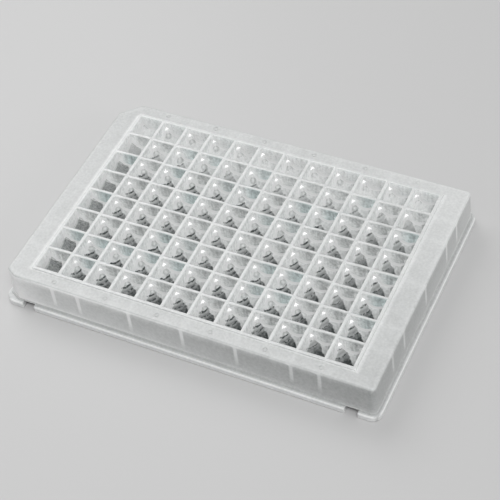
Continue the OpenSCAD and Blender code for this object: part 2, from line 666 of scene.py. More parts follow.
@dataclass
class Ribs:
    """The ribs under the deck, from the skirt to the outer wells."""

    shell: Shell
    wall: float = 0.9
    flare: float = 1.5
    flare_share: float = 0.8
    flare_turns: tuple[float, ...] = (0, 30, 60, 90)
    foot: float = 3.2
    inner_drop: float = 1.4
    overlap: float = 0.2
    deck_overlap: float = 0.1
    long_side: tuple[int, ...] = (-5, -4, -2, 0, 2, 4, 5)
    short_side: tuple[int, ...] = (-3, -2, 0, 2, 3)

    def section(self, foot: float) -> Outline:
        """One end of a rib, flaring out where it meets the deck.

        Args:
            foot: The height of its lower edge.

        Returns:
            Its outline: distance from the rib's middle, and height.
        """
        half, under = self.wall / 2, self.shell.deck_under
        drop = min(self.flare, (under - foot) * self.flare_share)
        right = [(half, foot)]
        for turn in self.flare_turns:
            a = math.radians(turn)
            right.append((half + self.flare * (1 - math.cos(a)), under - drop * (1 - math.sin(a))))
        right.append((right[-1][0], under + self.deck_overlap))
        return right + [(-x, z) for x, z in reversed(right)]

    def add_rib(self, solid: Solid, side: Side, step: int) -> None:
        """Adds one rib.

        Args:
            solid: The solid that gets it.
            side: The side of the plate it stands on.
            step: Its place along that side, in pitches from the middle.
        """
        shell, block = self.shell, self.shell.block
        start = shell.half_skirt(side) - shell.skirt_inset + self.overlap
        end = block.half_size(side) - self.overlap
        ends = []
        for reach, foot in ((start, self.foot), (end, shell.deck_under - self.inner_drop)):
            ring = []
            for across, z in self.section(foot):
                place = step * block.pitch + across
                if side.is_long:
                    ring.append((place, side.value[1] * reach, z))
                else:
                    ring.append((side.value[0] * reach, place, z))
            ends.append(ring)
        solid.add_prism(ends[0], ends[1])

    def build(self) -> bpy.types.Object:
        """Makes all the ribs as one object.

        Returns:
            The ribs.
        """
        solid = Solid()
        for side in Side:
            for step in self.long_side if side.is_long else self.short_side:
                self.add_rib(solid, side, step)
        return solid.build("ribs")


@dataclass
class Notches:
    """The notches through the flange near the ends of both long sides."""

    shell: Shell
    start: float = 53.0
    width: float = 4.2
    height: float = 2.55
    reach_in: float = 6.0
    reach_out: float = 2.0
    reach_down: float = 1.0

    def build(self) -> bpy.types.Object:
        """Makes the four blocks that cut the notches.

        Returns:
            The blocks.
        """
        solid = Solid()
        y = self.shell.width / 2
        for sx in (-1, 1):
            for sy in (-1, 1):
                xs = sorted((sx * self.start, sx * (self.start + self.width)))
                ys = sorted((sy * (y - self.reach_in), sy * (y + self.reach_out)))
                corners = [(xs[0], ys[1]), (xs[1], ys[1]), (xs[1], ys[0]), (xs[0], ys[0])]
                solid.add_prism([(a, b, -self.reach_down) for a, b in corners],
                                [(a, b, self.height) for a, b in corners])
        return solid.build("notches")


@dataclass
class EjectorMarks:
    """The shallow rings that the mould's ejector pins leave in the front and back borders."""

    shell: Shell
    diameter: float = 1.6
    line: float = 0.3
    depth: float = 0.15
    clearance: float = 0.5
    steps: tuple[int, ...] = (-5, -3, -1, 1, 3, 5)
    segments: int = 24

    def build(self) -> bpy.types.Object:
        """Makes the rings that cut the marks.

        Returns:
            The rings.
        """
        shell, solid = self.shell, Solid()
        y = (shell.block.half_size(Side.FRONT) + shell.width / 2 - shell.flange_ledge) / 2
        low, high = shell.deck_top - self.depth, shell.deck_top + self.clearance
        outer, inner = self.diameter / 2, self.diameter / 2 - self.line
        turns = [2 * math.pi * k / self.segments for k in range(self.segments)]
        for step in self.steps:
            for sy in (-1, 1):
                x = step * shell.block.pitch
                loops = [
                    solid.add_points([(x + r * math.cos(a), sy * y + r * math.sin(a), z) for a in turns])
                    for r, z in ((outer, low), (outer, high), (inner, high), (inner, low))
                ]
                for k in range(self.segments):
                    n = (k + 1) % self.segments
                    for one, other in zip(loops, loops[1:] + loops[:1]):
                        solid.faces.append([one[k], one[n], other[n], other[k]])
        return solid.build("ejector_marks")


class Zone(Enum):
    """The parts of the plate's skin that catch the light in ways of their own."""

    WELL = "the inside of a well"
    WALL = "the skirt and all other upright walls"
    FLANGE = "the flange and the foot of the skirt"
    DECK = "the deck, and what faces down"
    RIM_FOOT = "the low wall between the deck and the rims"
    RIM_EDGE = "the rounded edge of a rim"
    RIM = "the top of a rim"


@dataclass(frozen=True)
class PaintedLightGradient:
    """A painted gradient of light across the plate: how much of the plain light each place gets, where 1
    is the plain amount.
    """

    middle: float
    to_right: float
    to_back: float
    to_corner: float

    def at(self, right: float, back: float) -> float:
        """The share at a place, given in half lengths to the right and half widths to the back."""
        return self.middle + self.to_right * right + self.to_back * back + self.to_corner * right * back


@dataclass
class MilkDepth:
    """How much plastic lies behind each point of the skin, on lines that slant down into it, and the
    whiteness painted from it: painted shade where thin plastic would show the shaded hollows behind.

    Lengths are in millimetres, and whiteness runs from 0 to 1.
    """

    shell: Shell
    attribute: str = "milk"
    # The lines into the plastic, and how much of each the plastic catches on its way; what it doesn't
    # catch becomes painted shade of the hollows.
    cloud: float = 0.45
    haze: float = 0.15
    fade: float = 2.0
    start: float = 0.03
    skip: float = 0.002
    dark: float = 0.03
    fall: float = 0.65
    facing_down: float = -0.1
    tilt: Flat = (0.013, 0.021)
    spread: float = 0.10
    twist: float = 0.4
    rays_round: int = 4
    # Where the zones of the skin start and end.
    well_margin: float = 0.6
    brim_rounds: float = 1.5
    upright: float = 0.4
    flange_end: float = 2.9
    step_end: float = 3.5
    wall_end: float = 13.4
    rim_margin: float = 0.2
    edge_facing: Span = (0.2, 0.95)
    # How white each zone is, with painted shade where the hollows show through and painted light on some
    # zones.
    polish: float = 0.8
    painted_side_light: float = 0.14
    wall_gain: float = 2.0
    wall_loss: float = 0.51
    # Painted light near the skirt's top edge and its foot.
    painted_edge_light: float = 0.13
    painted_light_top: float = 11.0
    painted_light_top_fade: float = 2.0
    painted_light_foot: float = 4.2
    painted_light_foot_fade: float = 1.25
    # Painted light: the low wall under the rims is kept light against the shade along its foot.
    foot_white: float = 0.92
    painted_edge_highlight: float = 0.86
    satin_white: float = 0.67
    deck_white: float = 0.655
    skin: float = 0.45
    deck_skin: float = 0.86
    # A painted gradient of light across the skirt and the deck.
    painted_wall_light: PaintedLightGradient = PaintedLightGradient(1.03, -0.2, 0.1, 0.1)
    painted_deck_light: PaintedLightGradient = PaintedLightGradient(0.97, 0.074, 0.036, 0.091)
    # How white the flange is, with painted light and shade, and the heights where that changes.
    ledge_reach: float = 1.0
    lip_start: float = 2.3
    dark_line_span: Span = (1.0, 1.6)
    floor_line: float = 0.1
    # Painted shade on the flange's ledge and top bevel, a darker line across its face and painted shade
    # along the floor, and painted light on the rest of its face.
    ledge: float = 0.54
    lip: float = 0.62
    dark_lines: float = 0.72
    painted_light_band: float = 0.95

    @property
    def brim(self) -> float:
        """The height at which the rims start, a little under their rounding."""
        return self.shell.block.rim_height - self.shell.block.rim_round * self.brim_rounds

    def measure(self, plate: bpy.types.Object) -> None:
        """Writes the depth of milk at every point of a mesh, as a whiteness with painted light and shade.

        Args:
            plate: The finished mesh, in metres.
        """
        work = bmesh.new()
        work.from_mesh(plate.data)
        tree = BVHTree.FromBMesh(work)
        values = []
        for vert in work.verts:
            under_skin = vert.co - vert.normal * self.start * MM
            rays = self.rays(vert.normal)
            depth = sum(self.follow(tree, under_skin, ray) for ray in rays) / len(rays)
            values.append(self.whiteness([c / MM for c in vert.co], vert.normal, depth))
        work.free()
        made = plate.data.attributes.new(self.attribute, "FLOAT", "POINT")
        made.data.foreach_set("value", values)

    def rays(self, normal: Vector) -> list[Vector]:
        """The lines that look into the plastic from a point of the skin.

        Args:
            normal: The way the skin faces there.

        Returns:
            Their directions: one slants down, and the others lie round it.
        """
        flat = Vector((normal.x, normal.y, 0.0))
        up = normal.z
        if up > self.facing_down:
            up = max(up, self.fall * flat.length)
        main = -(flat + Vector((*self.tilt, up))).normalized()
        side = main.orthogonal().normalized()
        other = main.cross(side)
        made = [main]
        for k in range(1, self.rays_round + 1):
            a = 2 * math.pi / self.rays_round * k + self.twist
            made.append((main + (side * math.cos(a) + other * math.sin(a)) * self.spread).normalized())
        return made

    def follow(self, tree: BVHTree, start: Vector, ray: Vector) -> float:
        """Follows a line through the plastic and the hollows behind it.

        Args:
            tree: The mesh.
            start: Where the line starts, just under the skin.
            ray: Which way it goes.

        Returns:
            How much of it ends in milky plastic, from 0 to 1; the rest becomes painted shade of the
            hollows.
        """
        milk, left, place = self.haze, 1.0 - self.haze, start
        while left > self.dark:
            hit, normal, _, length = tree.ray_cast(place, ray)
            if hit is None:
                break
            if normal.dot(ray) > 0:
                caught = left * (1.0 - math.exp(-self.cloud * length / MM))
            else:
                left *= math.exp(-length / MM / self.fade)
                caught = left * self.haze
            milk, left, place = milk + caught, left - caught, hit + ray * (self.skip * MM)
        return milk

    def zone(self, place: Point, normal: Vector) -> Zone:
        """Finds the zone of the skin that a point lies in.

        Args:
            place: The point.
            normal: The way the skin faces there.

        Returns:
            The zone.
        """
        x, y, z = place
        block = self.shell.block
        beyond = max(abs(x) - block.half_size(Side.RIGHT), abs(y) - block.half_size(Side.BACK))
        if beyond < -self.well_margin and z < self.brim:
            return Zone.WELL
        if z < self.flange_end:
            return Zone.FLANGE
        if z < self.step_end or z < self.wall_end and abs(normal.z) < self.upright:
            return Zone.WALL
        if z <= self.wall_end or beyond >= self.rim_margin:
            return Zone.DECK
        if z <= self.brim:
            return Zone.RIM_FOOT
        low, high = self.edge_facing
        return Zone.RIM_EDGE if low < normal.z < high else Zone.RIM

    def whiteness(self, place: Point, normal: Vector, depth: float) -> float:
        """How white a point of the skin is, with painted light and shade.

        Args:
            place: The point.
            normal: The way the skin faces there.
            depth: How much of the line into the plastic is caught behind it, from 0 to 1; the rest
                becomes painted shade.

        Returns:
            The whiteness, from 0 to 1.
        """
        x, y, z = place
        right, back = x / self.shell.half_skirt(Side.RIGHT), y / self.shell.half_skirt(Side.BACK)
        zone = self.zone(place, normal)
        if zone is Zone.WELL:
            # Painted shade where the hollows show through, and painted side light on walls that face the
            # right.
            return min(1.0, self.polish + (1 - self.polish) * depth + self.painted_side_light * normal.x)
        if zone is Zone.WALL:
            # Painted shade where the hollows show through, painted light near the skirt's top edge and
            # its foot, and a painted gradient of light.
            top = max(0.0, z - self.painted_light_top) / self.painted_light_top_fade
            painted_edge_share = top + max(0.0, self.painted_light_foot - z) / self.painted_light_foot_fade
            milk = min(1.0, self.wall_gain * depth - self.wall_loss + self.painted_edge_light * painted_edge_share)
            return milk * self.painted_wall_light.at(right, back)
        if zone is Zone.FLANGE:
            return self.flange_white(place)
        # Painted light against the shade at the foot of the rims.
        if zone is Zone.RIM_FOOT:
            return self.foot_white
        # Painted highlights on the rims' rounded edges, and a painted gradient of light on the deck.
        whites = {
            Zone.RIM_EDGE: self.painted_edge_highlight,
            Zone.RIM: self.satin_white,
            Zone.DECK: self.deck_white * self.painted_deck_light.at(right, back),
        }
        # Painted shade where the hollows show through, less on faces that look up.
        skin = self.skin + (self.deck_skin - self.skin) * max(normal.z, 0.0)
        return (skin + (1 - skin) * depth) * whites[zone]

    def flange_white(self, place: Point) -> float:
        """How white the flange is: painted light on its face, painted shade on its thin ledge and its top
        bevel, and a darker line across its face, with painted shade along the floor.

        Args:
            place: The point.

        Returns:
            The whiteness, from 0 to 1.
        """
        x, y, z = place
        shell = self.shell
        outer = max(abs(x) - shell.half_skirt(Side.RIGHT), abs(y) - shell.half_skirt(Side.BACK))
        if outer < self.ledge_reach:
            return self.ledge
        if z > self.lip_start:
            return self.lip
        low, high = self.dark_line_span
        return self.dark_lines if low < z < high or z < self.floor_line else self.painted_light_band


class Sum(Enum):
    """The steps of the sums that a material works out."""

    ADD = "ADD"
    TAKE = "SUBTRACT"
    TIMES = "MULTIPLY"
    TIMES_AND_ADD = "MULTIPLY_ADD"
    LARGER = "MAXIMUM"
    SIZE = "ABSOLUTE"
    SIGN = "SIGN"
    ROOT = "SQRT"
    WHOLE = "FLOOR"
    WRAP = "WRAP"
    TO_AND_FRO = "PINGPONG"


class Value:
    """A number that a material works out, written with ordinary sums."""

    def __init__(self, tree: bpy.types.NodeTree, socket: bpy.types.NodeSocket) -> None:
        """Wraps the output socket that carries the number."""
        self.tree = tree
        self.socket = socket

    def work(self, step: Sum, *others: "Value | float", clamp: bool = False) -> "Value":
        """Adds one step of a sum.

        Args:
            step: The kind of step.
            others: The numbers after this one.
            clamp: Whether the result is kept from 0 to 1.

        Returns:
            The result.
        """
        node = self.tree.nodes.new("ShaderNodeMath")
        node.operation = step.value
        node.use_clamp = clamp
        for k, item in enumerate((self, *others)):
            if isinstance(item, Value):
                self.tree.links.new(item.socket, node.inputs[k])
            else:
                node.inputs[k].default_value = item
        return Value(self.tree, node.outputs[0])

    def __add__(self, other: "Value | float") -> "Value":
        """The sum of two numbers."""
        return self.work(Sum.ADD, other)

    def __sub__(self, other: "Value | float") -> "Value":
        """The difference of two numbers."""
        return self.work(Sum.TAKE, other)

    def __mul__(self, other: "Value | float") -> "Value":
        """The product of two numbers."""
        return self.work(Sum.TIMES, other)

    def rest(self) -> "Value":
        """What the number leaves of 1."""
        return self.work(Sum.TIMES_AND_ADD, -1.0, 1.0)

    def size(self) -> "Value":
        """The number without its sign."""
        return self.work(Sum.SIZE)

    def root(self) -> "Value":
        """The number's square root."""
        return self.work(Sum.ROOT)

    def to_and_fro(self, reach: float) -> "Value":
        """A number that runs from 0 to a reach and back as this one grows."""
        return self.work(Sum.TO_AND_FRO, reach)

    def below(self, limit: "Value | float", blur: float) -> "Value":
        """1 well below a limit and 0 well above it, with a soft edge."""
        return (self - limit).work(Sum.TIMES_AND_ADD, -1.0 / blur, 0.5, clamp=True)

    def above(self, limit: "Value | float", blur: float) -> "Value":
        """1 well above a limit and 0 well below it, with a soft edge."""
        return (self - limit).work(Sum.TIMES_AND_ADD, 1.0 / blur, 0.5, clamp=True)


class Paint:
    """The nodes that colour a material, laid out in the piece's own coordinates."""

    def __init__(self, tree: bpy.types.NodeTree) -> None:
        """Starts from the material's nodes and the coordinates of the piece."""
        self.tree = tree
        self.place = tree.nodes.new("ShaderNodeTexCoord").outputs["Object"]

    def axes(self) -> list[Value]:
        """Takes the coordinates apart.

        Returns:
            The place along the plate, across it and above the floor, in millimetres.
        """
        apart = self.tree.nodes.new("ShaderNodeSeparateXYZ")
        self.tree.links.new(self.place, apart.inputs[0])
        return [Value(self.tree, socket) * (1.0 / MM) for socket in apart.outputs]

    def noise(self, scale: float, detail: float, squash: float = 1.0) -> Value:
        """Adds a noise texture.

        Args:
            scale: Its scale, per metre.
            detail: How many finer layers it has.
            squash: Less than 1 draws it out along the height.

        Returns:
            Its value.
        """
        place = self.place
        if squash != 1.0:
            turned = self.tree.nodes.new("ShaderNodeMapping")
            turned.inputs["Scale"].default_value = (1.0, 1.0, squash)
            self.tree.links.new(place, turned.inputs["Vector"])
            place = turned.outputs[0]
        made = self.tree.nodes.new("ShaderNodeTexNoise")
        made.inputs["Scale"].default_value = scale
        made.inputs["Detail"].default_value = detail
        self.tree.links.new(place, made.inputs["Vector"])
        return Value(self.tree, made.outputs["Fac"])

    def per_cell(self, x: Value, y: Value, pitch: float) -> Value:
        """A number that differs from cell to cell of a grid.

        Args:
            x: The place along the grid.
            y: The place across it.
            pitch: The size of its cells.

        Returns:
            The number, from 0 to 1.
        """
        joined = self.tree.nodes.new("ShaderNodeCombineXYZ")
        for k, item in enumerate((x, y)):
            self.tree.links.new((item * (1.0 / pitch)).work(Sum.WHOLE).socket, joined.inputs[k])
        luck = self.tree.nodes.new("ShaderNodeTexWhiteNoise")
        self.tree.links.new(joined.outputs[0], luck.inputs["Vector"])
        return Value(self.tree, luck.outputs["Value"])

    def blend(
        self, low: Colour | bpy.types.NodeSocket, high: Colour | bpy.types.NodeSocket, share: Value
    ) -> bpy.types.NodeSocket:
        """Blends two colours.

        Args:
            low: The colour at 0.
            high: The colour at 1.
            share: How far between them.

        Returns:
            The blend.
        """
        mix = self.tree.nodes.new("ShaderNodeMix")
        mix.data_type = "RGBA"
        mix.clamp_factor = True
        for name, colour in (("A", low), ("B", high)):
            if isinstance(colour, tuple):
                mix.inputs[name].default_value = (*colour, 1)
            else:
                self.tree.links.new(colour, mix.inputs[name])
        self.tree.links.new(share.socket, mix.inputs["Factor"])
        return mix.outputs["Result"]


@dataclass(frozen=True)
class Spot:
    """Where a spot of the plate lies, as numbers that a material works out, in millimetres.

    Attributes:
        y: Its place across the plate.
        a: Its distance from its well's middle, along the plate.
        b: Its distance from its well's middle, across the plate.
        far: The larger of those two.
        radius: Its distance from the well's axis.
        across: Its place along the plate, from the well's middle.
        along: The same, turned round on the front half of the well.
        over: Its height above the well's cone.
        in_block: 1 in the block of wells.
        inside: 1 inside a well.
        on_wall: 1 on a flat wall.
        on_cone: 1 on a cone.
        first_column: 1 in the leftmost column.
        others: 1 in the other columns.
        last_row: 1 in the front row.
        right: Rises to 1 in the columns on the right.
        front: Falls to 0 in the rows at the back.
        swirl: Uneven flow of the plastic.
        warp: The same, calmer in the leftmost column.
        mottle: Fine clouds.
        lines: Fine upright lines.
        luck: A little chance, the same all over a well.
    """

    y: Value
    a: Value
    b: Value
    far: Value
    radius: Value
    across: Value
    along: Value
    over: Value
    in_block: Value
    inside: Value
    on_wall: Value
    on_cone: Value
    first_column: Value
    others: Value
    last_row: Value
    right: Value
    front: Value
    swirl: Value
    warp: Value
    mottle: Value
    lines: Value
    luck: Value


@dataclass(frozen=True)
class WellSkin:
    """The zones of the wells, in millimetres, and the unevenness of their skin, per metre."""

    block: WellBlock
    swirl: Grain = (900.0, 6.0)
    swirl_width: float = 2.4
    calm: float = 0.3
    mottle: Grain = (1300.0, 3.0)
    lines: Grain = (1300.0, 2.0)
    line_squash: float = 0.15
    edge: float = 0.1
    side_margin: float = 0.4
    cone_margin: float = 0.6
    rim_margin: float = 0.25
    wall_start: float = 0.35
    wall_blur: float = 0.3
    column_blur: float = 1.0
    # Where the painted shade in the wells grows wider, on the right, and where it fades, at the back.
    right_start: Soft = (0.62, 0.4)
    front_end: Soft = (0.75, 0.36)

    def spot(self, paint: Paint) -> Spot:
        """Works out where each spot of the plate lies.

        Args:
            paint: The material's nodes.

        Returns:
            The spot.
        """
        block, pitch, edge = self.block, self.block.pitch, self.edge
        x, y, z = paint.axes()
        swirl = paint.noise(*self.swirl) * self.swirl_width - self.swirl_width / 2
        a, b = (item.to_and_fro(pitch / 2) * -1.0 + pitch / 2 for item in (x, y))
        across, depth = (item.work(Sum.WRAP, pitch, 0.0) - pitch / 2 for item in (x, y))
        radius = (a * a + b * b).root()
        over = z - radius * (1.0 / block.slope) - block.apex
        half_x, half_y = block.half_size(Side.RIGHT), block.half_size(Side.BACK)
        in_block = (x.size().below(half_x - self.side_margin, edge)
                    * y.size().below(half_y - self.side_margin, edge))
        under_rim = z.below(block.rim_height - self.rim_margin, edge)
        first_column = (x * -1.0).above(half_x - pitch, self.column_blur)
        others = first_column.rest()
        return Spot(
            y=y, a=a, b=b, far=a.work(Sum.LARGER, b), radius=radius, across=across,
            along=across * depth.work(Sum.SIGN), over=over, in_block=in_block,
            inside=in_block * over.above(-self.cone_margin, edge) * under_rim,
            on_wall=over.above(self.wall_start, self.wall_blur),
            on_cone=over.below(self.wall_start, self.wall_blur),
            first_column=first_column, others=others,
            last_row=(y * -1.0).above(half_y - pitch, self.column_blur),
            right=x.above(half_x * self.right_start[0], half_x * self.right_start[1]),
            front=y.below(half_y * self.front_end[0], half_y * self.front_end[1]),
            swirl=swirl, warp=swirl * (others * (1.0 - self.calm) + self.calm),
            mottle=paint.noise(*self.mottle) - 0.5,
            lines=paint.noise(*self.lines, self.line_squash) - 0.5,
            luck=paint.per_cell(x, y, pitch) - 0.5,
        )


@dataclass(frozen=True)
class Stroke:
    """A broken dark line of painted refraction that follows the brink of the dark patch, at a depth
    inside it.
    """

    depth: float
    half_width: float
    gaps: float
    blur: float = 0.12
    gap_blur: float = 0.1

    def draw(self, spot: Spot, inner: Value, flank: Value) -> Value:
        """How much of the line each spot shows, within the flank and broken by the mottle."""
        line = (inner - self.depth).size().below(self.half_width, self.blur)
        return line * flank * spot.mottle.above(self.gaps, self.gap_blur)


@dataclass(frozen=True)
class DarkPatch:
    """Painted shade and refraction: the dark patch round a well's point, where the dark below the plate
    shows through the cone, with a wavy brink and finer lines inside it.
    """

    edge: float = 0.1
    # How far the brink lies from the well's middle.
    lean: Flat = (0.8, 0.57)
    brink_wave: float = 0.3
    brink_luck: float = 0.9
    reach: float = 3.35
    first_reach: float = 1.9
    row_reach: float = 0.25
    right_reach: float = 1.05
    # The lines that bound it on its flanks.
    bend: Soft = (1.3, 1.6)
    bend_reach: float = 1.15
    left_limit: float = 2.3
    left_first: float = 1.45
    left_row: float = 0.3
    left_wave: float = 0.5
    left_blur: float = 0.4
    back_lean: float = 0.28
    back_limit: float = 4.0
    back_others: float = 2.0
    back_blur: float = 0.06
    right_lean: float = 0.48
    right_limit: float = 1.5
    right_others: float = 10.0
    right_blur: float = 0.1
    # What is drawn inside it, and how dark that is.
    half_stripe: float = 0.5
    ripple_rate: float = 1.1
    ripple_wave: float = 0.5
    ripple_end: float = 1.9
    zebra_rate: Flat = (0.4, 1.6)
    zebra_wave: float = 2.0
    zebra_light: float = 0.9
    core: Soft = (3.3, 2.4)
    core_dark: float = 0.6
    plain_dark: float = 0.52
    tone: float = 1.2
    mottle: float = 2.0
    brink: Stroke = Stroke(0.15, 0.16, -0.07)
    brink_dark: float = 0.95
    second: Stroke = Stroke(1.15, 0.14, -0.04)
    second_right: float = 0.4
    second_dark: float = 0.55

    def inner(self, spot: Spot) -> Value:
        """How far each spot lies inside the patch's brink.

        Args:
            spot: Where the spots lie.

        Returns:
            The distance, below 0 outside it.
        """
        line = (spot.a * self.lean[0] + spot.b * self.lean[1] + spot.warp * self.brink_wave
                + spot.luck * self.brink_luck)
        wider = (spot.first_column * self.first_reach + spot.last_row * self.row_reach
                 + spot.right * self.right_reach)
        return wider + self.reach - line

    def flank(self, spot: Spot, inner: Value) -> Value:
        """Where the patch may be: on the cone, and within three lines across it.

        Args:
            spot: Where the spots lie.
            inner: How far each lies inside the brink.

        Returns:
            1 there and 0 elsewhere.
        """
        bend = inner.below(*self.bend) * spot.others
        limit = (spot.first_column * self.left_first + spot.last_row * self.left_row + self.left_limit
                 - bend * self.bend_reach)
        left = (spot.b + spot.across + spot.warp * self.left_wave).below(limit, self.left_blur)
        back = (spot.b + spot.a * self.back_lean).below(
            spot.others * self.back_others + self.back_limit, self.back_blur
        )
        right = (spot.across + spot.b * self.right_lean).below(
            spot.others * self.right_others + self.right_limit, self.right_blur
        )
        return left * back * right * spot.on_cone

    def draw(self, spot: Spot) -> tuple[Value, Value]:
        """Draws the patch.

        Args:
            spot: Where the spots lie.

        Returns:
            How dark each spot is, and where the patch is.
        """
        inner = self.inner(spot)
        flank = self.flank(spot, inner)
        patch = inner.above(0.0, self.edge) * flank
        ripple = (inner * self.ripple_rate + spot.warp * self.ripple_wave).to_and_fro(self.half_stripe)
        ripple = ripple * inner.below(self.ripple_end, self.ripple_end)
        zebra = spot.b * self.zebra_rate[1] + spot.a * self.zebra_rate[0] + spot.swirl * self.zebra_wave
        zebra = zebra.to_and_fro(self.half_stripe) * spot.first_column
        tone = (ripple * spot.others * -1.0 + self.tone + spot.mottle * self.mottle
                - zebra * self.zebra_light)
        core = spot.others * (spot.radius.below(*self.core) * self.core_dark + self.plain_dark)
        brink = self.brink.draw(spot, inner, flank)
        second = self.second.draw(spot, inner - spot.right * self.second_right, flank)
        dark = (patch * (core + spot.first_column) * tone + brink * self.brink_dark
                + second * spot.others * self.second_dark)
        return dark * spot.front, patch


@dataclass(frozen=True)
class Whorl:
    """Painted refraction: the dark rings low in the corners of a cone."""

    middle: float = 5.75
    sideways: float = 0.3
    outwards: float = 0.5
    rate: float = 0.8
    wave: float = 0.25
    half_ring: float = 0.5
    clear: float = 0.1
    reach: float = 1.15
    blur: float = 0.2

    def draw(self, spot: Spot, patch: Value) -> Value:
        """Draws the rings where the dark patch isn't.

        Args:
            spot: Where the spots lie.
            patch: Where the dark patch is.

        Returns:
            How dark each spot is.
        """
        side = spot.a - spot.b
        out = spot.a + spot.b - self.middle
        ring = (side * side * self.sideways + out * out * self.outwards).root() * self.rate
        ring = ring + spot.warp * self.wave
        rings = (ring.to_and_fro(self.half_ring) - self.clear) * ring.below(self.reach, self.blur)
        return rings * patch.rest() * spot.on_cone


@dataclass(frozen=True)
class Pane:
    """Painted shade: the grey pane on the front and the back wall of a well, just over the wall's foot,
    where the well behind shows through.
    """

    edge: float = 0.1
    fade: Soft = (-0.6, 3.8)
    foot: Soft = (0.6, 0.2)
    wall: Span = (3.7, 4.25)
    strong: Soft = (1.2, 0.7)
    strength: float = 0.4
    at_back: float = 0.15

    def draw(self, spot: Spot) -> Value:
        """Draws the pane.

        Args:
            spot: Where the spots lie.

        Returns:
            How grey each spot is.
        """
        wall = spot.far.above(self.wall[0], self.edge) * spot.far.below(self.wall[1], self.edge)
        shape = (spot.along.above(*self.fade) * (spot.b - spot.a).above(0.0, self.edge)
                 * spot.over.above(*self.foot) * wall)
        front = spot.front * (1.0 - self.at_back) + self.at_back
        return shape * spot.in_block * front * (spot.over.below(*self.strong) * self.strength + 1.0)


@dataclass(frozen=True)
class WellLook:
    """How clear or milky each spot inside a well looks, drawn as painted shade, refractions and
    highlights, and how strong each of its marks is.
    """

    skin: WellSkin
    patch: DarkPatch = DarkPatch()
    whorl: Whorl = Whorl()
    pane: Pane = Pane()
    # Painted shade: the dark patch, fading towards the back; the cones, darker at the front; and the
    # whorls.
    patch_dark: float = -0.53
    patch_fade: float = -0.004
    cone_dark: float = 0.07
    cone_front: float = 0.05
    whorl_dark: float = 0.75
    # Painted light along the ridge at the foot of the walls, and a painted highlight on the seats.
    ridge: Soft = (3.6, 0.15)
    ridge_over: Soft = (0.6, 0.2)
    painted_ridge_light: float = 0.4
    seat_margin: float = 0.1
    seat_blur: float = 0.2
    seat_over: Soft = (1.9, 0.3)
    painted_seat_highlight: float = 0.5
    swirl_light: float = 0.07
    wall_lines: float = 0.55
    wall_mottle: float = 0.5
    # Painted light on the flat walls.
    painted_wall_light: float = 0.04
    cone_mottle: float = 0.45
    # Painted shade on the panes.
    pane_dark: float = 0.25
    pane_luck: Soft = (0.1, 0.1)
    mottle: float = 0.25

    def seat(self, spot: Spot) -> Value:
        """Finds the seats in the corners of the mouths.

        Args:
            spot: Where the spots lie.

        Returns:
            1 on a seat and 0 elsewhere.
        """
        block = self.skin.block
        start = block.mouth - block.seat_reach - self.seat_margin
        corner = (spot.a + spot.b).above(start, self.seat_blur)
        return corner * spot.over.below(*self.seat_over) * spot.inside * spot.others

    def draw(self, paint: Paint) -> tuple[Value, Value, Value]:
        """Works out how clear each spot inside a well is, as painted shade, refractions and highlights.

        Args:
            paint: The material's nodes.

        Returns:
            What is added to the depth of milk, where the seats are, and where a flat wall gets the cool
            tint of its painted shade.
        """
        spot = self.skin.spot(paint)
        dark, patch = self.patch.draw(spot)
        whorl = self.whorl.draw(spot, patch)
        pane = self.pane.draw(spot)
        seat = self.seat(spot)
        ridge = spot.far.above(*self.ridge) * spot.over.below(*self.ridge_over)
        on_wall = spot.lines * self.wall_lines + spot.mottle * self.wall_mottle + self.painted_wall_light
        # Painted shade darkens the cones; painted light brightens the ridge, the seats and the flat
        # walls; the rest is uneven tone.
        wells = (
            dark * (spot.y * self.patch_fade + 1.0) * self.patch_dark
            - spot.on_cone * (spot.front * self.cone_front + self.cone_dark)
            - whorl * self.whorl_dark
            + ridge * self.painted_ridge_light
            + seat * self.painted_seat_highlight
            + spot.warp * self.swirl_light
            + spot.on_wall * on_wall
            + spot.on_cone * spot.mottle * self.cone_mottle
        )
        wells = wells * spot.inside - pane * self.pane_dark + spot.mottle * self.mottle
        return wells, seat, pane * spot.luck.above(*self.pane_luck)


